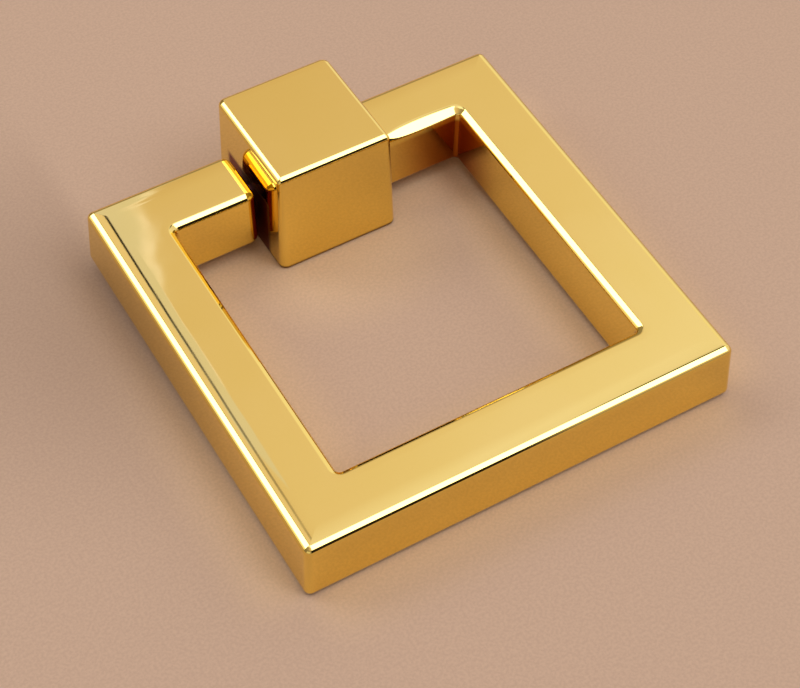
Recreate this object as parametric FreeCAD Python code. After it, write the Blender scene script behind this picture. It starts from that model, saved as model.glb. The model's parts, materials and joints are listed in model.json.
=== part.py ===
import FreeCAD, Part
import math
import os

# Square ring pull for a drawer or a cupboard door.
# A square ring, open in the middle of its pivot bar, swings on two short steel pins that run
# in the sides of a cube-like post. One machine screw from behind holds the post to the door.
# Sizes are in millimetres. X runs along the pivot axis, Y runs up the door face and Z points
# straight out of it. The origin is the centre of the post's back face, on the door face Z = 0.
# Ring and post are castings with draft: both are widest at the back and narrow to the front.
# Widths and lengths are those of the back face. The ring is at rest, its grip bar on the door.

# Ring
ring_width = 50.0             # outside, over both side bars
ring_length = 49.9            # outside, over the pivot bar and the grip bar
ring_thickness = 7.6          # front face to back face
side_bar_width = 7.8
pivot_bar_width = 7.6
grip_bar_width = 7.5
ring_draft = 2.5              # degrees, on the outside and in the window
ring_corner_radius = 0.9      # the ring's outer corners, seen from the front
window_corner_radius = 0.5    # the corners of its window
ring_edge_radius = 0.8        # all long edges, round the outside and round the window
arm_end_radius = 1.3          # round the end of each arm, beside the post

# Post
post_width = 14.35            # along the pivot axis
post_length = 15.2            # up the door face
post_height = 13.5            # out of the door face
post_draft = 1.6              # degrees, on all four sides
post_side_radius = 0.7        # the four edges that run out of the door face
post_front_radius = 0.6       # round the front face
post_back_radius = 0.3        # round the back face

# Screw hole in the back of the post, for an M4 machine screw
screw_diameter = 4.0          # over the threads
screw_hole_depth = 9.0        # full thread, without the drill's point
screw_mouth_chamfer = 0.5

# Pivot pins, two steel dowels pressed into the arms
pin_diameter = 3.0
pin_length_in_arm = 4.0
pin_length_in_post = 2.4
pin_end_chamfer = 0.3

# Fits and clearances
arm_gap = 0.35                # each arm's end to the post's side, at the pivot axis
pin_running_clearance = 0.03  # radial, in the post
pin_end_clearance = 0.3       # past the pin's end in the post's bore
turning_clearance = 0.1       # pivot bar's corner to the door face as the ring turns

# Cutting tools
drill_point_angle = 118.0
cutter_overrun = 1.0          # how far a tool starts outside the metal

same_place = 1e-4             # edges within this of a plane lie in it
ALONG_X = FreeCAD.Vector(1, 0, 0)
ALONG_Z = FreeCAD.Vector(0, 0, 1)


def slope(draft):
    """How far a drafted side leans in for each millimetre of height."""
    return math.tan(math.radians(draft))


def block(middle, width, length, low, high, draft=0.0):
    """A block between two heights whose four sides lean in by the draft angle.

    Its width and length are those at the height of the point in its middle.
    """
    levels = []
    for level in (low, high):
        half_width = width / 2 - level * slope(draft)
        half_length = length / 2 - level * slope(draft)
        corners = []
        for x, y in ((-1, -1), (1, -1), (1, 1), (-1, 1)):
            corners.append(middle + FreeCAD.Vector(x * half_width, y * half_length, level))
        levels.append(corners)
    below, above = levels
    outlines = [below[::-1], above]
    for i in range(4):
        j = (i + 1) % 4
        outlines.append([below[i], below[j], above[j], above[i]])
    faces = [Part.Face(Part.makePolygon(outline + outline[:1])) for outline in outlines]
    return Part.Solid(Part.Shell(faces))


def rising_edges(solid):
    """The edges of a block that run from its back face to its front face."""
    return [edge for edge in solid.Edges if edge.BoundBox.ZLength > solid.BoundBox.ZLength / 2]


def edges_at_height(solid, height):
    """The edges of a solid that lie in the plane Z = height."""
    found = []
    for edge in solid.Edges:
        box = edge.BoundBox
        if abs(box.ZMin - height) < same_place and abs(box.ZMax - height) < same_place:
            found.append(edge)
    return found


def edges_across(solid, x):
    """The edges of a solid that lie in the plane at this X."""
    found = []
    for edge in solid.Edges:
        box = edge.BoundBox
        if abs(box.XMin - x) < same_place and abs(box.XMax - x) < same_place:
            found.append(edge)
    return found


def drilled_hole(mouth, inward, radius, depth):
    """A blind round hole with a drill's point at its bottom, as the solid to be cut away."""
    hole = Part.makeCylinder(radius, depth + cutter_overrun, mouth - inward * cutter_overrun, inward)
    point_depth = radius / math.tan(math.radians(drill_point_angle / 2))
    point = Part.makeCone(radius, 0, point_depth, mouth + inward * depth, inward)
    return hole.fuse(point)


def back_round_inset():
    """From a bar's back corner, as if sharp, to the centre of its rounding, across the bar."""
    return ring_edge_radius * slope(ring_draft) + ring_edge_radius / math.cos(math.radians(ring_draft))


def pivot_height():
    """The pivot axis stands off the door face just enough for the pivot bar to turn clear."""
    across = pivot_bar_width / 2 - back_round_inset()
    behind = ring_thickness / 2 - ring_edge_radius
    return math.hypot(across, behind) + ring_edge_radius + turning_clearance


def resting_tilt():
    """Degrees that the ring leans in, so that its grip bar touches the door face."""
    along = ring_length - pivot_bar_width / 2 - back_round_inset()
    behind = ring_thickness / 2 - ring_edge_radius
    height = pivot_height() - ring_edge_radius
    lean = math.asin(height / math.hypot(along, behind)) - math.atan2(behind, along)
    return math.degrees(lean)


def at_rest(shape):
    """Turn a shape that was built flat about the pivot axis into the ring's place at rest."""
    shape.rotate(FreeCAD.Vector(0, 0, pivot_height()), ALONG_X, resting_tilt())
    return shape


def post_side():
    """From the middle of the post to its side, at the pivot axis."""
    return post_width / 2 - pivot_height() * slope(post_draft)


def pivot_pin(side):
    """One dowel with chamfered ends, side -1 on the left and 1 on the right."""
    start = FreeCAD.Vector(side * (post_side() - pin_length_in_post), 0, pivot_height())
    length = pin_length_in_post + arm_gap + pin_length_in_arm
    pin = Part.makeCylinder(pin_diameter / 2, length, start, ALONG_X * side)
    ends = [edge for edge in pin.Edges if edge.Curve.TypeId == "Part::GeomCircle"]
    return pin.makeChamfer(pin_end_chamfer, ends)


def through_cut(middle, width, length, draft):
    """What is cut away for an opening that goes through the ring from its back to its front."""
    return block(middle, width, length, -cutter_overrun, ring_thickness + cutter_overrun, draft)


def ring_blank(back):
    """The ring with its window for the fingers, before the pivot bar is opened for the post."""
    top = pivot_bar_width / 2
    middle = FreeCAD.Vector(0, top - ring_length / 2, back)
    body = block(middle, ring_width, ring_length, 0, ring_thickness, ring_draft)
    body = body.makeFillet(ring_corner_radius, rising_edges(body))

    window_length = ring_length - pivot_bar_width - grip_bar_width
    window_middle = FreeCAD.Vector(0, -top - window_length / 2, back)
    window = through_cut(window_middle, ring_width - 2 * side_bar_width, window_length, -ring_draft)
    return body.cut(window.makeFillet(window_corner_radius, rising_edges(window)))


def ring():
    """The square ring, one casting with soft edges and a blind bore in each arm's end."""
    back = pivot_height() - ring_thickness / 2
    arm_end = post_side() + arm_gap
    opening_length = pivot_bar_width + 2 * cutter_overrun
    opening = through_cut(FreeCAD.Vector(0, 0, back), 2 * arm_end, opening_length, 0.0)
    body = ring_blank(back).cut(opening)
    body = body.makeFillet(arm_end_radius, edges_across(body, arm_end) + edges_across(body, -arm_end))

    # An arm's rounded end already runs smoothly into its front and its back, so those edges stay.
    run_out = arm_end + arm_end_radius
    smooth = edges_across(body, run_out) + edges_across(body, -run_out)
    outlines = edges_at_height(body, back) + edges_at_height(body, back + ring_thickness)
    sharp = [edge for edge in outlines if not any(edge.isSame(other) for other in smooth)]
    body = body.makeFillet(ring_edge_radius, sharp)

    for side in (-1, 1):
        mouth = FreeCAD.Vector(side * arm_end, 0, pivot_height())
        body = body.cut(drilled_hole(mouth, ALONG_X * side, pin_diameter / 2, pin_length_in_arm))
    return body


def post():
    """The post: a block with a blind pin bore in each side and a tapped hole in its back."""
    origin = FreeCAD.Vector(0, 0, 0)
    body = block(origin, post_width, post_length, 0, post_height, post_draft)
    body = body.makeFillet(post_side_radius, rising_edges(body))
    body = body.makeFillet(post_front_radius, edges_at_height(body, post_height))
    body = body.makeFillet(post_back_radius, edges_at_height(body, 0))

    bore_radius = pin_diameter / 2 + pin_running_clearance
    bore_depth = pin_length_in_post + pin_end_clearance
    for side in (-1, 1):
        mouth = FreeCAD.Vector(side * post_side(), 0, pivot_height())
        body = body.cut(drilled_hole(mouth, ALONG_X * -side, bore_radius, bore_depth))

    screw_radius = screw_diameter / 2
    body = body.cut(drilled_hole(origin, ALONG_Z, screw_radius, screw_hole_depth))
    mouth_radius = screw_radius + screw_mouth_chamfer
    return body.cut(Part.makeCone(mouth_radius, screw_radius, screw_mouth_chamfer, origin, ALONG_Z))


def save(shape, node):
    """Write one sub-part, and say what it is."""
    shape.Solids[0].exportStep("parts/" + node + ".step")
    print(node, "solids", len(shape.Solids), "valid", shape.isValid(), "mm3", round(shape.Volume, 1))


os.makedirs("parts", exist_ok=True)
save(post(), "post")
save(at_rest(ring()), "ring")
save(at_rest(pivot_pin(-1)), "left_pivot_pin")
save(at_rest(pivot_pin(1)), "right_pivot_pin")
print("pivot height", round(pivot_height(), 5), "mm, resting tilt", round(resting_tilt(), 5), "degrees")
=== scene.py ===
import json
import math

import bpy
from mathutils import Matrix, Vector


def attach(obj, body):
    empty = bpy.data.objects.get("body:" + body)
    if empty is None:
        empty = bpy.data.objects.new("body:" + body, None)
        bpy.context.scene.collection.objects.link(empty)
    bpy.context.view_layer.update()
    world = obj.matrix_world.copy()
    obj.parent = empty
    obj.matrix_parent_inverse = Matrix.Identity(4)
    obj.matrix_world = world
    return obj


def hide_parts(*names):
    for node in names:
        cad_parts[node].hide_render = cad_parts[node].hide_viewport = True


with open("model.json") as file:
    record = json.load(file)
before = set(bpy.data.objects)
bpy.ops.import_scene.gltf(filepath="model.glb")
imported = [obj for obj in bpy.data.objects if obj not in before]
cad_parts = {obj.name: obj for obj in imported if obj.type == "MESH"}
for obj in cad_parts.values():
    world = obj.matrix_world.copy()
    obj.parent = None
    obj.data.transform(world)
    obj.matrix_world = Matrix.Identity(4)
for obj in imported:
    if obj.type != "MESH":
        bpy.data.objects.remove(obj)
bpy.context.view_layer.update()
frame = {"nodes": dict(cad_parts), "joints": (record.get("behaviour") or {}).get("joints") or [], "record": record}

# The looks of a square ring pull: two mirror-polished gold castings on ground steel pins.
# Lengths are in millimetres up to the moment a mesh is made, and angles are in degrees.
MM = 0.001

# Ring, with the sizes of its back face; it narrows to the front with the draft
RING_WIDTH = 50.0
RING_LENGTH = 49.9
RING_THICKNESS = 7.6
SIDE_BAR = 7.8
PIVOT_BAR = 7.6
GRIP_BAR = 7.5
RING_DRAFT = 2.5
RING_CORNER = 0.75          # the outer corners, seen from the front
WINDOW_CORNER = 0.5         # the corners of the window
RING_EDGE = 0.8             # the rounding of the long edges
ARM_END_ROUND = 1.3
ARM_GAP = 0.5               # an arm's end to the post's side

# Post
POST_WIDTH = 14.35
POST_LENGTH = 15.2
POST_HEIGHT = 13.5
POST_DRAFT = 1.6
POST_CORNER_BACK = 0.95     # the edges that run out of the door, at the back face
POST_CORNER_FRONT = 0.45    # and at the front face, on the side of the grip bar
POST_FRONT_ROUND = 0.6
POST_BACK_ROUND = 0.3

# Pins and the bores that hold them
PIN_RADIUS = 1.5
PIN_PLAY = 0.03
ARM_BORE_DEPTH = 3.85
POST_BORE_DEPTH = 2.7
DRILL_POINT = 118.0
BORE_SQUARE = 2.0           # half the side of the square of the post's side that holds a bore

# Screw thread in the post
THREAD_PITCH = 0.7
THREAD_DEPTH = 0.5413 * THREAD_PITCH
THREAD_FLANK = 0.3125       # shares of the pitch
THREAD_CREST = 0.125
THREAD_STEPS = 10           # rows of points for each turn

# Polishing wheels leave the front faces very slightly rounded off towards their edges.
OUTER_CROWN = (3.0, 1.7)    # slope where the edge's rounding starts, and how far in it reaches
INNER_CROWN = (1.2, 0.8)
POST_CROWN = (1.0, 0.8)

# They also leave a narrow flat in the rounding of each front edge. These give the radius below
# the flat, the flat's width and the radius above it, for a plain rounding of 1, and the angle
# of the flat's normal above the horizontal.
OUTER_FRONT = (0.89, 0.22, 0.89, 60.0)
WINDOW_FRONT = (1.06, 0.28, 0.56, 60.0)
POST_FRONT = (1.08, 0.33, 0.42, 60.0)

# The window's front edge is worn along the right arm. These are the same four, in millimetres.
WORN_BAR = (0.35, 0.40, 0.75, 58.0)     # in the window's corner, towards the right bar
WORN_ARM = (0.28, 0.58, 1.00, 54.0)     # and towards the arm
WORN_MORE = (0.0, 0.18, 0.12, 0.0)      # what is added halfway along the arm
WORN_END = 12                           # how suddenly it ends beside the post

# How finely the rounded parts are divided
EDGE_STEPS = 8              # on each side of the flat
BACK_EDGE_STEPS = 6
CROWN_STEPS = 6
CORNER_STEPS = 12
BAR_STEPS = 8
END_STEPS = 12
BORE_SIDE_STEPS = 10
LEAST_ROUND = 0.03          # what is left of a rounding that runs out

pivot = frame["joints"][0]["pos_m"][2] / MM
mounts = {mount["name"]: mount for mount in frame["record"]["mounts"]}
screw_radius = mounts["screw_hole"]["dims"]["r_mm"]
mouth_chamfer = mounts["screw_hole"]["pos_m"][2] / MM
screw_depth = mouth_chamfer + mounts["screw_hole"]["dims"]["length_mm"]


def tan(degrees):
    return math.tan(math.radians(degrees))


def sin(degrees):
    return math.sin(math.radians(degrees))


def cos(degrees):
    return math.cos(math.radians(degrees))


def steps(start, end, count):
    """Evenly spaced values from start to end, both included."""
    return [start + (end - start) * i / count for i in range(count + 1)]


class Skin:
    """A mesh under construction: points, faces, and the true normal at each corner of each face."""

    def __init__(self):
        self.points = []
        self.faces = []
        self.normals = []

    def row(self, points):
        """Add points and return their numbers."""
        first = len(self.points)
        self.points.extend(points)
        return list(range(first, len(self.points)))

    def face(self, corners, normals):
        self.faces.append(corners)
        self.normals.extend(normals)

    def band(self, a, b, normals_a, normals_b):
        """Four-sided faces between two closed rows with as many points."""
        for i in range(len(a)):
            j = (i + 1) % len(a)
            self.face([a[i], a[j], b[j], b[i]], [normals_a[i], normals_a[j], normals_b[j], normals_b[i]])

    def fan(self, row, tip, normals, inward):
        """Triangles from a closed row to one point, where a band to that point would go."""
        point = self.row([tip])[0]
        for i in range(len(row)):
            j = (i + 1) % len(row)
            corners = [row[i], row[j], point] if inward else [row[j], row[i], point]
            order = (i, j, i) if inward else (j, i, i)
            self.face(corners, [normals[k] for k in order])

    def build(self, name, place, material):
        """Make the object, with place turning a point in millimetres into one in the row frame."""
        turn = place.to_3x3()
        mesh = bpy.data.meshes.new(name)
        mesh.from_pydata([(place @ point) * MM for point in self.points], [], self.faces)
        mesh.polygons.foreach_set("use_smooth", [True] * len(mesh.polygons))
        mesh.normals_split_custom_set([(turn @ normal).normalized() for normal in self.normals])
        mesh.materials.append(material)
        piece = bpy.data.objects.new(name, mesh)
        bpy.context.scene.collection.objects.link(piece)
        return piece


def front_edge(radius, shape):
    """The radius below the flat, the flat's width, the radius above it, and its angle."""
    heel, flat, brow, angle = shape
    return heel * radius, flat * radius, brow * radius, angle


def edge_profile(thickness, draft, inset, back_round, front, crown):
    """One side of a drafted bar from its back face to the flat of its front face.

    Each point is how far in it lies from the side's line on the back face, its height, and the
    angle of its normal above the horizontal.
    """
    slope, reach = crown
    drop = math.radians(slope) * reach / 2
    heel, flat, brow, angle = front
    low = inset + back_round
    top = thickness - inset - drop - brow * cos(slope)
    high = top + (brow - heel) * sin(angle) - flat * cos(angle)

    def middle(height, rounding):
        return height * tan(draft) + inset + rounding / cos(draft)

    above = middle(high, heel) + (brow - heel) * cos(angle) + flat * sin(angle)
    arcs = (
        (back_round, middle(low, back_round), low, steps(-90, draft, BACK_EDGE_STEPS)),
        (heel, middle(high, heel), high, steps(draft, angle, EDGE_STEPS)),
        (brow, above, top, steps(angle, 90 - slope, EDGE_STEPS)),
    )
    profile = []
    for rounding, centre, height, lifts in arcs:
        for lift in lifts:
            profile.append((centre - rounding * cos(lift), height + rounding * sin(lift), lift))
    start = profile[-1][0]
    for share in steps(0, 1, CROWN_STEPS)[1:]:
        left = 1 - share
        profile.append((start + share * reach, thickness - inset - drop * left * left, 90 - slope * left))
    return profile


def drill_point(radius):
    """How far a drill's point reaches beyond the full depth of its hole."""
    return radius / tan(DRILL_POINT / 2)


def add_bore(skin, border, normals, centre, into, radius, depth, forward, lean=0.0):
    """A blind round hole along X, with the faces between its mouth and a closed row round it.

    Border is that row, and normals are those of the face that it lies in. Centre is the middle
    of the mouth, and into is 1 for a hole that runs towards +X and -1 for the other way. Forward
    says which way round the border goes, and lean is the face's draft.
    """
    directions = []
    for number in border:
        offset = skin.points[number] - centre
        offset.x = 0
        directions.append(offset.normalized())
    run = Vector((into, 0, 0))
    mouth = []
    for direction in directions:
        mouth.append(centre + direction * radius + run * (direction.z * radius * tan(lean)))
    mouth_row = skin.row(mouth)
    floor_row = skin.row([centre + run * depth + direction * radius for direction in directions])
    walls = [-direction for direction in directions]
    for a, b, facing in ((border, mouth_row, normals), (mouth_row, floor_row, walls)):
        if forward:
            skin.band(a, b, facing, facing)
        else:
            skin.band(b, a, facing, facing)
    skin.fan(floor_row, centre + run * (depth + drill_point(radius)), walls, forward)


# Ring

half_width = RING_WIDTH / 2
half_length = RING_LENGTH / 2
middle_y = PIVOT_BAR / 2 - half_length
window_half_width = half_width - SIDE_BAR
window_half_length = (RING_LENGTH - PIVOT_BAR - GRIP_BAR) / 2
post_side = POST_WIDTH / 2 - pivot * tan(POST_DRAFT)
arm_end = post_side + ARM_GAP


def section(inset, edge, window_edge=None):
    """A closed section of the ring's bar, as (is outer, how far in, height, normal's angle).

    Edge is the rounding of its long edges. The window's front edge may have one of its own.
    """
    outer_edge = front_edge(edge, OUTER_FRONT)
    window_edge = window_edge or front_edge(edge, WINDOW_FRONT)
    outer = edge_profile(RING_THICKNESS, RING_DRAFT, inset, edge, outer_edge, OUTER_CROWN)
    inner = edge_profile(RING_THICKNESS, RING_DRAFT, inset, edge, window_edge, INNER_CROWN)
    return [(True, *point) for point in outer] + [(False, *point) for point in reversed(inner)]


def corner_row(side_x, side_y, angle):
    """The section at one angle of a corner's arcs, and its normals."""
    points = []
    normals = []
    out = Vector((cos(angle), sin(angle), 0))
    worn = None
    if side_x > 0 and side_y > 0:
        # This corner's arcs turn from 360 degrees at the right bar to 450 at the arm.
        to_arm = (angle - 360) / 90
        worn = [bar + (arm - bar) * to_arm for bar, arm in zip(WORN_BAR, WORN_ARM)]
    for is_outer, u, z, lift in section(0, RING_EDGE, worn):
        drafted = z * tan(RING_DRAFT)
        extra = u - drafted
        if is_outer:
            radius = max(RING_CORNER - extra, LEAST_ROUND)
            x = half_width - drafted - extra - radius
            y = half_length - drafted - extra - radius
        else:
            radius = WINDOW_CORNER + extra
            x = window_half_width + drafted - WINDOW_CORNER
            y = window_half_length + drafted - WINDOW_CORNER
        points.append(Vector((side_x * x, middle_y + side_y * y, z)) + out * radius)
        facing = out if is_outer else -out
        normals.append(facing * cos(lift) + Vector((0, 0, sin(lift))))
    return points, normals


def arm_y(is_outer, u):
    """The Y of a point of an arm's section."""
    return middle_y + (half_length - u if is_outer else window_half_length + u)


def arm_normal(is_outer, lift):
    """The normal at a point of an arm's section, away from the arm's end."""
    return Vector((0, (1 if is_outer else -1) * cos(lift), sin(lift)))


def arm_row(side, x, turn):
    """The section of an arm at this X; turn is how far its end's rounding has turned to the post."""
    inset = ARM_END_ROUND * (1 - cos(turn))
    between = math.degrees(math.acos(sin(turn) ** 2))
    edge = max(RING_EDGE * tan(between / 2), LEAST_ROUND)
    points = []
    normals = []
    to_post = Vector((-side, 0, 0))
    for is_outer, u, z, lift in section(inset, edge):
        points.append(Vector((side * x, arm_y(is_outer, u), z)))
        normals.append(arm_normal(is_outer, lift) * cos(turn) + to_post * sin(turn))
    return points, normals


def straight_rows(first, last, count):
    """Sections between two others, along a straight bar."""
    rows = []
    for share in steps(0, 1, count)[1:-1]:
        points = [a.lerp(b, share) for a, b in zip(first[0], last[0])]
        normals = [a.lerp(b, share) for a, b in zip(first[1], last[1])]
        rows.append((points, normals))
    return rows


def worn_rows(first, last, count):
    """Sections between two others along the right arm, whose window edge the wheel wore down."""
    rows = []
    unworn = front_edge(RING_EDGE, WINDOW_FRONT)
    for share in steps(0, 1, count)[1:-1]:
        left = 1 - share ** WORN_END
        worn = [
            (start + more * sin(180 * share)) * left + end * (1 - left)
            for start, more, end in zip(WORN_ARM, WORN_MORE, unworn)
        ]
        points = []
        normals = []
        for a, b, (is_outer, u, z, lift) in zip(first[0], last[0], section(0, RING_EDGE, worn)):
            points.append(Vector((a.x + (b.x - a.x) * share, arm_y(is_outer, u), z)))
            normals.append(arm_normal(is_outer, lift))
        rows.append((points, normals))
    return rows


def arm_rows(side):
    """An arm's sections, from its end face beside the post to where it leaves the rounding."""
    rows = []
    for turn in steps(90, 0, END_STEPS):
        rows.append(arm_row(side, arm_end + ARM_END_ROUND * (1 - sin(turn)), turn))
    return rows


def ring_rows():
    """All sections of the ring, from the left arm's end round to the right arm's end."""
    rows = arm_rows(-1)
    for side_x, side_y, start in ((-1, 1, 90), (-1, -1, 180), (1, -1, 270), (1, 1, 360)):
        corner = [corner_row(side_x, side_y, angle) for angle in steps(start, start + 90, CORNER_STEPS)]
        rows += straight_rows(rows[-1], corner[0], BAR_STEPS)
        rows += corner
    right_arm = arm_rows(1)[::-1]
    rows += worn_rows(rows[-1], right_arm[0], 2 * BAR_STEPS)
    return rows + right_arm


def ring_skin():
    skin = Skin()
    rows = [(skin.row(points), normals) for points, normals in ring_rows()]
    for (a, normals_a), (b, normals_b) in zip(rows, rows[1:]):
        skin.band(b, a, normals_b, normals_a)
    for side, (end_row, normals) in ((-1, rows[0]), (1, rows[-1])):
        centre = Vector((side * arm_end, 0, RING_THICKNESS / 2))
        add_bore(skin, end_row, normals, centre, side, PIN_RADIUS, ARM_BORE_DEPTH, side < 0)
    return skin


def resting_tilt():
    """How far the ring leans in at rest, with its grip bar's back edge on the door face."""
    into_bar = RING_EDGE * tan(RING_DRAFT) + RING_EDGE / cos(RING_DRAFT)
    along = RING_LENGTH - PIVOT_BAR / 2 - into_bar
    behind = RING_THICKNESS / 2 - RING_EDGE
    return math.asin((pivot - RING_EDGE) / math.hypot(along, behind)) - math.atan2(behind, along)


def make_ring(material):
    lift = Matrix.Translation((0, 0, pivot))
    lower = Matrix.Translation((0, 0, -RING_THICKNESS / 2))
    place = lift @ Matrix.Rotation(resting_tilt(), 4, "X") @ lower
    ring = ring_skin().build("ring_casting", place, material)
    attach(ring, "ring")
    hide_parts("ring")


# Post

def outline(half_x, half_y, radii, height):
    """A closed row of points round the post, with their outward directions in plan.

    It starts on the side towards +X. The roundings are those of its corners towards +X +Y,
    -X +Y, -X -Y and +X -Y. On each side the points first cross the square that holds a bore.
    """
    points = []
    outwards = []
    for quarter, (along, across) in enumerate(((half_y, half_x), (half_x, half_y)) * 2):
        turn = 90 * quarter
        side = Vector((cos(turn), sin(turn), 0))
        on = Vector((-sin(turn), cos(turn), 0))
        radius = radii[quarter]
        flat = along - radius
        columns = [radii[quarter - 1] - along] + steps(-BORE_SQUARE, BORE_SQUARE, BORE_SIDE_STEPS) + [flat]
        for column in columns:
            points.append(side * across + on * column + Vector((0, 0, height)))
            outwards.append(side)
        corner = side * (across - radius) + on * flat + Vector((0, 0, height))
        for angle in steps(turn, turn + 90, CORNER_STEPS)[1:-1]:
            out = Vector((cos(angle), sin(angle), 0))
            points.append(corner + out * radius)
            outwards.append(out)
    return points, outwards


def post_row(inset, height, lift):
    """The post's outline at one point of its profile, and its normals."""
    drafted = height * tan(POST_DRAFT)
    near = POST_CORNER_BACK + (POST_CORNER_FRONT - POST_CORNER_BACK) * height / POST_HEIGHT
    far = POST_CORNER_BACK
    radii = [max(corner - (inset - drafted), LEAST_ROUND) for corner in (far, far, near, near)]
    points, outwards = outline(POST_WIDTH / 2 - inset, POST_LENGTH / 2 - inset, radii, height)
    return points, [out * cos(lift) + Vector((0, 0, sin(lift))) for out in outwards]


def thread_radius(turn, height):
    """The wall of the tapped hole: ridges stand inward and run out at both ends."""
    phase = (height / THREAD_PITCH - turn / 360) % 1
    from_crest = abs(phase - 0.5)
    ridge = min(max((0.5 - THREAD_CREST / 2 - from_crest) / THREAD_FLANK, 0), 1)
    room = min(height - mouth_chamfer, screw_depth - height)
    return screw_radius - THREAD_DEPTH * ridge * min(max(room / THREAD_PITCH, 0), 1)


def screw_hole_rows(turns):
    """Rows of the screw hole from its drilled bottom to its chamfered mouth."""
    count = round((screw_depth - mouth_chamfer) / THREAD_PITCH * THREAD_STEPS)
    rows = []
    for height in steps(screw_depth, mouth_chamfer, count):
        points = []
        for turn in turns:
            radius = thread_radius(turn, height)
            points.append(Vector((radius * cos(turn), radius * sin(turn), height)))
        rows.append(points)
    mouth = screw_radius + mouth_chamfer
    rows.append([Vector((mouth * cos(turn), mouth * sin(turn), 0)) for turn in turns])
    return rows


def add_screw_hole(skin, back_row):
    """The tapped hole, and the flat back face between its mouth and the row round that face."""
    turns = [math.degrees(math.atan2(skin.points[k].y, skin.points[k].x)) for k in back_row]
    none = [Vector()] * len(turns)
    down = [Vector((0, 0, -1))] * len(turns)
    hole = [skin.row(points) for points in screw_hole_rows(turns)]
    skin.fan(hole[0], Vector((0, 0, screw_depth + drill_point(screw_radius))), none, False)
    for a, b in zip(hole, hole[1:]):
        skin.band(a, b, none, none)
    skin.band(hole[-1], back_row, down, down)


def add_post_sides(skin, rows, first, last):
    """The faces between the post's rows, with a square left open for each bore.

    The squares lie between the rows first and last, on the sides towards +X and -X.
    """
    count = len(rows[0][0])
    quarter = count // 4
    for k, ((a, normals_a), (b, normals_b)) in enumerate(zip(rows, rows[1:])):
        beside_bore = first <= k < last
        for i in range(count):
            j = (i + 1) % count
            column = i % quarter - 1
            on_bored_side = i // quarter in (0, 2)
            if beside_bore and on_bored_side and 0 <= column < BORE_SIDE_STEPS:
                continue
            corners = [a[i], a[j], b[j], b[i]]
            skin.face(corners, [normals_a[i], normals_a[j], normals_b[j], normals_b[i]])


def square_round_bore(rows, first, last, start):
    """The closed row round the square between the rows first and last whose columns begin at start."""
    end = start + BORE_SIDE_STEPS
    square = [rows[first][0][i] for i in range(start, end)]
    square += [rows[k][0][end] for k in range(first, last)]
    square += [rows[last][0][i] for i in range(end, start, -1)]
    square += [rows[k][0][start] for k in range(last, first, -1)]
    return square


def post_skin():
    skin = Skin()
    front_round = front_edge(POST_FRONT_ROUND, POST_FRONT)
    profile = edge_profile(POST_HEIGHT, POST_DRAFT, 0, POST_BACK_ROUND, front_round, POST_CROWN)
    back = profile[:BACK_EDGE_STEPS + 1]
    front = profile[BACK_EDGE_STEPS + 1:]
    bored_heights = steps(pivot - BORE_SQUARE, pivot + BORE_SQUARE, BORE_SIDE_STEPS)
    bored = [(height * tan(POST_DRAFT), height, POST_DRAFT) for height in bored_heights]
    rows = []
    for point in back + bored + front:
        points, normals = post_row(*point)
        rows.append((skin.row(points), normals))
    first = len(back)
    last = first + BORE_SIDE_STEPS
    back_row = rows[0][0]
    add_screw_hole(skin, back_row)
    add_post_sides(skin, rows, first, last)
    top_row, top_normals = rows[-1]
    skin.face(top_row, top_normals)
    for side, start in ((1, 1), (-1, 1 + len(back_row) // 2)):
        square = square_round_bore(rows, first, last, start)
        normals = [rows[first][1][start]] * len(square)
        centre = Vector((side * post_side, 0, pivot))
        radius = PIN_RADIUS + PIN_PLAY
        add_bore(skin, square, normals, centre, -side, radius, POST_BORE_DEPTH, True, POST_DRAFT)
    return skin


def make_post(material):
    post = post_skin().build("post_casting", Matrix.Identity(4), material)
    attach(post, "post")
    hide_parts("post")


# Materials

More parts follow.
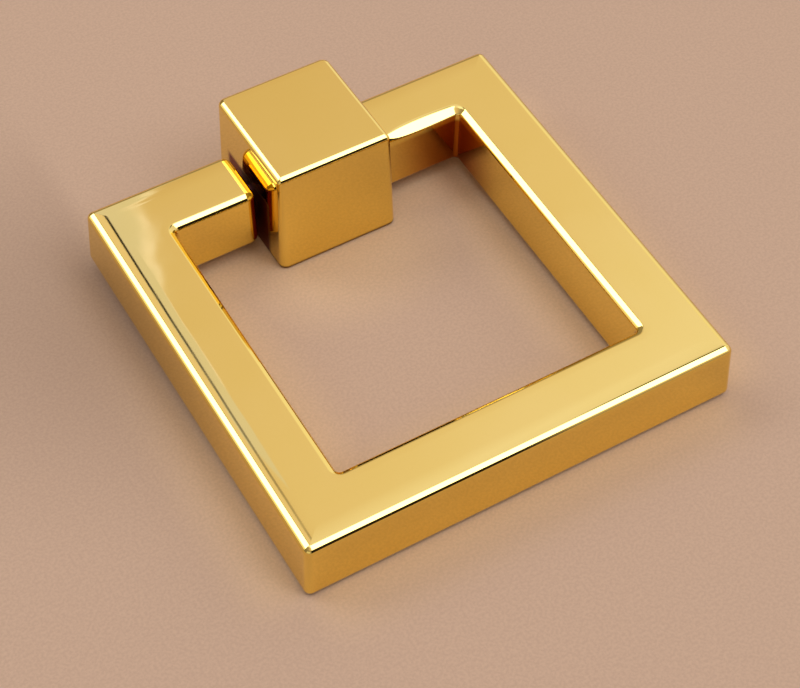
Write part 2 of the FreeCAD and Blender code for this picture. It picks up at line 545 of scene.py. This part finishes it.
class Graph:
    """Short calls that add nodes to one material or world and link them."""

    def __init__(self, tree):
        self.tree = tree

    def node(self, kind, inputs=None, **settings):
        made = self.tree.nodes.new(kind)
        for name, value in settings.items():
            setattr(made, name, value)
        for key, value in (inputs or {}).items():
            self.put(made.inputs[key], value)
        return made

    def put(self, socket, value):
        if isinstance(value, bpy.types.NodeSocket):
            self.tree.links.new(value, socket)
        else:
            socket.default_value = value

    def math(self, operation, *values):
        made = self.node("ShaderNodeMath", operation=operation)
        for socket, value in zip(made.inputs, values):
            self.put(socket, value)
        return made.outputs[0]

    def product(self, first, *others):
        for other in others:
            first = self.math("MULTIPLY", first, other)
        return first

    def parts(self, where):
        """The X, Y and Z of a point or a direction."""
        return self.node("ShaderNodeSeparateXYZ", {"Vector": where}).outputs

    def noise(self, where, size, detail=2.0):
        """Noise whose features are about this many millimetres across."""
        made = self.node("ShaderNodeTexNoise", {"Vector": where, "Scale": 1 / (size * MM), "Detail": detail})
        return made.outputs["Fac"]

    def distance(self, x, y, at_x, at_y, stretch=1.0):
        """Distance in plan from a point given in millimetres; stretch lessens it along X."""
        along = self.math("MULTIPLY", self.math("SUBTRACT", x, at_x * MM), stretch)
        across = self.math("SUBTRACT", y, at_y * MM)
        squares = [self.math("MULTIPLY", value, value) for value in (along, across)]
        return self.math("SQRT", self.math("ADD", *squares))

    def spread(self, value, low, high, to_low=0.0, to_high=1.0):
        """Turn the range low to high smoothly into the range to_low to to_high."""
        made = self.node("ShaderNodeMapRange", interpolation_type="SMOOTHSTEP")
        for socket, number in zip(made.inputs, (value, low, high, to_low, to_high)):
            self.put(socket, number)
        return made.outputs[0]

    def rise(self, value, start, end):
        """0 up to start and 1 from end on, both in millimetres."""
        return self.spread(value, start * MM, end * MM)

    def fade(self, value, start, end):
        """1 up to start and 0 from end on, both in millimetres."""
        return self.spread(value, start * MM, end * MM, 1.0, 0.0)

    def blend(self, share, a, b):
        """Colour a where share is 0 and colour b where it is 1."""
        made = self.node("ShaderNodeMix", data_type="RGBA")
        for key, value in ((0, share), (6, a), (7, b)):
            self.put(made.inputs[key], value)
        return made.outputs[2]


def new_material(name):
    """A new material, its graph, its shader, and the point of the object that is being shaded."""
    material = bpy.data.materials.new(name)
    material.use_nodes = True
    graph = Graph(material.node_tree)
    where = graph.node("ShaderNodeTexCoord").outputs["Object"]
    return material, graph, material.node_tree.nodes["Principled BSDF"], where


# The part of a noise's range that is used, so that both ends are reached
NOISE_RANGE = (0.3, 0.7)

# Gold plating. A pair of lengths says where a change starts and where it ends.
POLISHED_GOLD = ((0.94, 0.69, 0.155, 1), (0.95, 0.70, 0.165, 1))
TONE_SIZE = 9.0
# Painted shade: the window's corner at the right arm is painted dark red where the arms and bars shade and mirror
# each other.
PAINTED_CORNER_SHADE = (0.42, 0.12, 0.008, 1)      # in the window's corner at the right arm
CORNER_SHADE_REACH = (0.5, 9.0)                 # from that corner
CORNER_SHADE_STRETCH = 0.75
CORNER_SHADE_HEIGHT = (7.2, 7.8)
# Painted shade: the recess beside the post is painted dark, besides being rougher.
PAINTED_RECESS_SHADE = (0.18, 0.018, 0.006, 1)   # beside the post
RECESS_AT_POST = (-0.3, -0.1)           # from the post's side
RECESS_AT_ARM = (0.1, 0.3)              # from the arm's end
RECESS_LENGTH = (4.2, 5.2)              # from the pivot's axis
RECESS_HEIGHT = (7.4, 8.3)
# Painted contact shade: a dark line round the back, where it meets the floor; it is rougher too.
PAINTED_CONTACT_SHADE = (0.16, 0.07, 0.018, 1)      # in a line round the back
DULL_AND_SHADE_HEIGHT = (0.15, 0.60)              # above the back
MATT_GOLD = (0.72, 0.47, 0.11, 1)       # on the back
MATT_HEIGHT = (0.02, 0.10)
DULL_ROUGHNESS = 0.35                   # what is added where the gold is dull
HAZE_SIZE = 4.0
HAZE_RANGE = (0.35, 0.75)
HAZE = (0.030, 0.055)                   # roughness of the polished faces
WAVE_SIZE = 8.0
WAVE_HEIGHT = 0.010
RIPPLE_SIZE = 0.8
RIPPLE_SHARE = 0.015


def gold(name, tilt, back):
    """Mirror-polished gold plating, slightly wavy from the wheel.

    Its back, which leans by tilt and crosses the row's Z axis at back, is matt, with a dark line
    round it that is painted contact shade, and rougher. The recess beside the post is rougher and
    painted dark as painted shade, and the window's corner at the right arm is painted dark red as
    painted shade.
    """
    material, graph, shader, where = new_material(name)
    x, y, z = graph.parts(where)
    above = graph.product(graph.math("SUBTRACT", z, back * MM), math.cos(tilt))
    off_back = graph.math("SUBTRACT", above, graph.product(y, math.sin(tilt)))
    # A line round the back: rougher, and painted dark as painted contact shade.
    dull_and_painted_shade = graph.fade(off_back, *DULL_AND_SHADE_HEIGHT)
    matt = graph.fade(off_back, *MATT_HEIGHT)

    off_middle = graph.math("ABSOLUTE", x)
    # The recess beside the post: rougher, and painted dark as painted shade.
    recess = graph.product(
        graph.rise(off_middle, *[post_side + place for place in RECESS_AT_POST]),
        graph.fade(off_middle, *[arm_end + place for place in RECESS_AT_ARM]),
        graph.fade(graph.math("ABSOLUTE", y), *RECESS_LENGTH),
        graph.fade(z, *RECESS_HEIGHT),
    )
    # Painted shade in the window's corner at the right arm.
    from_corner = graph.distance(x, y, window_half_width, -PIVOT_BAR / 2, CORNER_SHADE_STRETCH)
    corner_shade = graph.product(graph.fade(from_corner, *CORNER_SHADE_REACH), graph.fade(z, *CORNER_SHADE_HEIGHT))

    colour = graph.blend(graph.spread(graph.noise(where, TONE_SIZE), *NOISE_RANGE), *POLISHED_GOLD)
    for share, other in (
        (corner_shade, PAINTED_CORNER_SHADE),
        (recess, PAINTED_RECESS_SHADE),
        (dull_and_painted_shade, PAINTED_CONTACT_SHADE),
        (matt, MATT_GOLD),
    ):
        colour = graph.blend(share, colour, other)
    graph.put(shader.inputs["Base Color"], colour)
    haze = graph.spread(graph.noise(where, HAZE_SIZE, 4.0), *HAZE_RANGE, *HAZE)
    rough = graph.product(graph.math("MAXIMUM", dull_and_painted_shade, recess), DULL_ROUGHNESS)
    graph.put(shader.inputs["Roughness"], graph.math("ADD", haze, rough))
    shader.inputs["Metallic"].default_value = 1.0
    ripple = graph.product(graph.noise(where, RIPPLE_SIZE), RIPPLE_SHARE)
    height = graph.math("ADD", graph.noise(where, WAVE_SIZE, 1.0), ripple)
    bump = graph.node("ShaderNodeBump", {"Strength": 1.0, "Distance": WAVE_HEIGHT * MM, "Height": height})
    graph.put(shader.inputs["Normal"], bump.outputs["Normal"])
    return material


# Dark brown steel: painted shade of the narrow gaps in which the pins are seen.
PAINTED_SHADE_STEEL = ((0.16, 0.085, 0.055, 1), (0.26, 0.15, 0.10, 1))
STEEL_ROUGHNESS = (0.25, 0.40)
GRINDING_WIDTH = 0.06
GRINDING_DEPTH = 0.004


def ground_steel():
    """The pins: steel with fine grinding lines round them, painted dark brown as painted shade of the narrow gaps
    they sit in.
    """
    material, graph, shader, where = new_material("ground_steel")
    along = graph.parts(where)["X"]
    settings = {"W": along, "Scale": 1 / (GRINDING_WIDTH * MM), "Detail": 3.0}
    lines = graph.node("ShaderNodeTexNoise", settings, noise_dimensions="1D").outputs["Fac"]
    graph.put(shader.inputs["Base Color"], graph.blend(lines, *PAINTED_SHADE_STEEL))
    graph.put(shader.inputs["Roughness"], graph.spread(lines, *NOISE_RANGE, *STEEL_ROUGHNESS))
    shader.inputs["Metallic"].default_value = 1.0
    bump = graph.node("ShaderNodeBump", {"Strength": 0.4, "Distance": GRINDING_DEPTH * MM, "Height": lines})
    graph.put(shader.inputs["Normal"], bump.outputs["Normal"])
    return material


# Floor. Each kind of board has the colours of its grain, and a pair of lengths says where a
# change starts and where it ends.
PLAIN_BOARD = ((0.541, 0.350, 0.180, 1), (0.598, 0.390, 0.203, 1))
# Painted bounce light from the gold, close to the object
PAINTED_BOUNCE_BOARD = ((0.656, 0.424, 0.197, 1), (0.725, 0.472, 0.221, 1))
# Painted shadow beside the ring's far left corner
PAINTED_SHADOW_BOARD = ((0.430, 0.273, 0.140, 1), (0.475, 0.308, 0.158, 1))
GRAIN_SIZE = 0.30
BOUNCE_REACH = 8.0           # from the ring's bars
BOUNCE_CORNER = (0.0, 6.0)   # it ends at the ring's corners
BOUNCE_BEFORE_POST = (4.0, 14.0)
BOUNCE_STRETCH = 0.8
SHADOW_REACH = (4.0, 36.0)
SHADOW_SHARE = 0.9
SHADOW_PLACE = 4.0            # its middle, to the left of the ring


def board():
    """The floor: pale, warm, uncoated board with a barely visible grain.

    Painted bounce light makes it a little lighter and yellower close to the object, and a painted
    shadow makes it darker beside its far left corner.
    """
    material, graph, shader, where = new_material("pale_board")
    x, y, _ = graph.parts(where)
    grain = graph.spread(graph.noise(where, GRAIN_SIZE, 3.0), *NOISE_RANGE)
    plain, light, dark = [graph.blend(grain, *tones) for tones in (PLAIN_BOARD, PAINTED_BOUNCE_BOARD, PAINTED_SHADOW_BOARD)]

    # Painted bounce light: lighter along the ring's bars and in front of the post.
    half_bar = SIDE_BAR / 2
    beside = graph.math("SUBTRACT", graph.math("ABSOLUTE", x), (half_width - half_bar) * MM)
    ahead = graph.math("ABSOLUTE", graph.math("SUBTRACT", y, middle_y * MM))
    ahead = graph.math("SUBTRACT", ahead, (half_length - half_bar) * MM)
    from_bar = graph.math("ABSOLUTE", graph.math("MAXIMUM", beside, ahead))
    along_bars = graph.product(
        graph.fade(from_bar, half_bar, half_bar + BOUNCE_REACH),
        graph.fade(graph.math("MINIMUM", beside, ahead), *BOUNCE_CORNER),
    )
    from_post = graph.distance(x, y, 0, -POST_LENGTH / 2, BOUNCE_STRETCH)
    close = graph.math("MAXIMUM", along_bars, graph.fade(from_post, *BOUNCE_BEFORE_POST))

    # Painted shadow: darker beside the ring's far left corner.
    from_far_corner = graph.distance(x, y, -half_width - SHADOW_PLACE, 0)
    dim = graph.product(
        graph.fade(from_far_corner, *SHADOW_REACH),
        graph.fade(x, -half_width, half_bar - half_width),
        SHADOW_SHARE,
    )
    colour = graph.blend(dim, graph.blend(close, plain, light), dark)
    graph.put(shader.inputs["Base Color"], colour)
    shader.inputs["Roughness"].default_value = 0.9
    shader.inputs["Specular IOR Level"].default_value = 0.1
    return material


# Surroundings

FLOOR_SIZE = 6000.0
FLOOR_BELOW = 0.02          # the floor lies this far under the object


def make_floor():
    mesh = bpy.data.meshes.new("floor")
    half = FLOOR_SIZE / 2 * MM
    level = -FLOOR_BELOW * MM
    corners = [(-half, -half, level), (half, -half, level), (half, half, level), (-half, half, level)]
    mesh.from_pydata(corners, [], [(0, 1, 2, 3)])
    mesh.materials.append(board())
    floor = bpy.data.objects.new("floor", mesh)
    bpy.context.scene.collection.objects.link(floor)


class Sky(Graph):
    """A studio round the object, given by the direction (x, y, z) in which one looks."""

    def __init__(self, tree):
        super().__init__(tree)
        self.direction = self.node("ShaderNodeTexCoord").outputs["Generated"]
        self.x, self.y, self.z = self.parts(self.direction)
        self.colour = None

    def towards(self, aim):
        """How closely the direction points at aim, 1 when it does."""
        made = self.node("ShaderNodeVectorMath", {1: Vector(aim).normalized()}, operation="DOT_PRODUCT")
        self.put(made.inputs[0], self.direction)
        return made.outputs["Value"]

    def between(self, value, low, high, soft):
        """1 where the value lies between low and high, with soft edges."""
        above_low = self.spread(value, low - soft, low + soft)
        below_high = self.spread(value, high - soft, high + soft, 1.0, 0.0)
        return self.product(above_low, below_high)

    def panel(self, x, y, z, soft, colour, amount=1.0, across=None):
        """Lay a patch of this colour over what is there, between limits of x, y and z.

        Where across is given, its limits stand in for those of x.
        """
        share = self.product(
            self.between(self.x if across is None else across, *x, soft),
            self.between(self.y, *y, soft),
            self.between(self.z, *z, soft),
            amount,
        )
        self.colour = self.blend(share, self.colour, (*colour, 1))


# The dome's tones, by nearness to the direction of most of its light
MAIN_LIGHT = (0.55, -0.10, 0.83)
TONES = (
    (0.00, (0.24, 0.21, 0.21)),
    (0.45, (0.40, 0.36, 0.41)),
    (0.66, (0.715, 0.597, 0.655)),
    (0.80, (0.829, 0.752, 0.93)),
    (0.86, (0.935, 0.93, 1.38)),
    (1.00, (0.84, 0.82, 1.10)),
)

# Patches on the dome: the limits of x, y and z, how soft their edges are, and the colour
LOW_LIGHTS = (
    ((0.50, 1.1), (0.2, 0.8), (0.02, 0.68), 0.06, (0.98, 0.97, 1.15)),          # right and back
    ((-1.1, -0.35), (-1.1, -0.30), (0.06, 0.52), 0.06, (0.78, 0.74, 0.84)),     # left and front
)
DARK_GAPS = (
    ((-0.08, 0.03), (0.30, 0.80), (0.2, 1.0), 0.02, (0.10, 0.09, 0.06)),
    ((0.38, 0.60), (0.04, 0.33), (0.5, 1.0), 0.02, (0.10, 0.09, 0.05)),
    ((-0.10, 0.36), (-1.1, -0.40), (-0.20, 0.64), 0.02, (0.02, 0.015, 0.015)),
)
WHITE = (3.4, 3.7, 5.4)
SOFT_BOXES = (
    ((-0.40, 0.03), (-0.18, 0.30), (0.75, 1.1), 0.02, (1.15, 1.3, 2.0)),        # between the two
    ((-0.90, -0.08), (0.43, 0.72), (0.10, 0.56), 0.02, (1.05, 0.98, 1.00)),     # left, lower end
    ((-0.80, -0.08), (0.43, 0.68), (0.52, 1.0), 0.02, WHITE),                   # left
    ((0.17, 0.50), (-0.69, 0.0), (0.30, 1.0), 0.02, WHITE),                     # front
)

# What the left bar's front face mirrors. The patch and its rim lean and waver.
PALE_STRIP = ((0.02, 0.170), (0.36, 0.80), (0.5, 1.0), 0.010, (0.87, 0.785, 1.0))
PALE_PATCH = ((0.260, 0.3185), (0.36, 0.80), (0.5, 0.85), 0.0015, (0.765, 0.785, 1.30))
BRIGHT_RIM = ((0.3150, 0.3190), (0.36, 0.80), (0.5, 0.82), 0.001, (0.98, 0.98, 1.80))
DARK_SEAM = ((0.165, 0.177), (0.36, 0.80), (0.5, 1.0), 0.001, (0.0, 0.0, 0.0))
SEAM_FADE = (0.78, 0.90, 1.0, 0.35)     # from z, to z, and its strength at both
LEAN = 0.12
WAVER = 0.026
WAVER_SCALE = 40.0


def make_sky():
    """Soft boxes to the front and to the left, a bright dome on the right and dark gaps between."""
    world = bpy.data.worlds.new("studio")
    bpy.context.scene.world = world
    world.use_nodes = True
    sky = Sky(world.node_tree)
    ramp = sky.node("ShaderNodeValToRGB", {"Fac": sky.towards(MAIN_LIGHT)})
    stops = ramp.color_ramp.elements
    for place, _ in TONES[1:-1]:
        stops.new(place)
    for stop, (_, tone) in zip(stops, TONES):
        stop.color = (*tone, 1)
    sky.colour = ramp.outputs["Color"]

    for patch in LOW_LIGHTS:
        sky.panel(*patch)
    settings = {"Vector": sky.direction, "Scale": WAVER_SCALE, "Detail": 1.0}
    wave = sky.node("ShaderNodeTexNoise", settings).outputs["Fac"]
    waver = sky.product(sky.math("SUBTRACT", wave, 0.5), WAVER)
    leaning = sky.math("ADD", sky.math("ADD", sky.x, sky.product(sky.z, LEAN)), waver)
    sky.panel(*PALE_STRIP)
    sky.panel(*PALE_PATCH, across=leaning)
    sky.panel(*BRIGHT_RIM, across=leaning)
    sky.panel(*DARK_SEAM, amount=sky.spread(sky.z, *SEAM_FADE))
    for patch in DARK_GAPS + SOFT_BOXES:
        sky.panel(*patch)
    background = world.node_tree.nodes["Background"]
    sky.put(background.inputs["Color"], sky.colour)
    background.inputs["Strength"].default_value = 1.0


# Camera, at the photograph's viewing angle

CAMERA_AZIMUTH = -29.58
CAMERA_ELEVATION = 50.86
CAMERA_ROLL = -0.64
CAMERA_DISTANCE = 222.1
CAMERA_TARGET = Vector((-2.465, -24.99, 2.92))
FOCAL_LENGTH_PX = 2129.1
FRAME_WIDTH_PX = 800
SENSOR_WIDTH = 36.0
NEAREST_SEEN = 1.0
FURTHEST_SEEN = 10000.0


def make_camera():
    data = bpy.data.cameras.new("camera")
    camera = bpy.data.objects.new("camera", data)
    bpy.context.scene.collection.objects.link(camera)
    data.sensor_width = SENSOR_WIDTH
    data.lens = FOCAL_LENGTH_PX * SENSOR_WIDTH / FRAME_WIDTH_PX
    data.clip_start = NEAREST_SEEN * MM
    data.clip_end = FURTHEST_SEEN * MM
    back = Vector((
        sin(CAMERA_AZIMUTH) * cos(CAMERA_ELEVATION),
        -cos(CAMERA_AZIMUTH) * cos(CAMERA_ELEVATION),
        sin(CAMERA_ELEVATION),
    ))
    camera.location = (CAMERA_TARGET + back * CAMERA_DISTANCE) * MM
    camera.rotation_mode = "QUATERNION"
    roll = Matrix.Rotation(math.radians(CAMERA_ROLL), 3, "Z").to_quaternion()
    camera.rotation_quaternion = (-back).to_track_quat("-Z", "Y") @ roll
    bpy.context.scene.camera = camera


tilt = resting_tilt()
back_height = pivot - RING_THICKNESS / 2 / math.cos(tilt)
make_ring(gold("gold_plating_on_ring", tilt, back_height))
make_post(gold("gold_plating_on_post", 0.0, 0.0))
steel = ground_steel()
for pin in ("left_pivot_pin", "right_pivot_pin"):
    pin_mesh = frame["nodes"][pin].data
    pin_mesh.materials.clear()
    pin_mesh.materials.append(steel)
make_floor()
make_sky()
make_camera()
bpy.context.scene.view_settings.view_transform = "Standard"
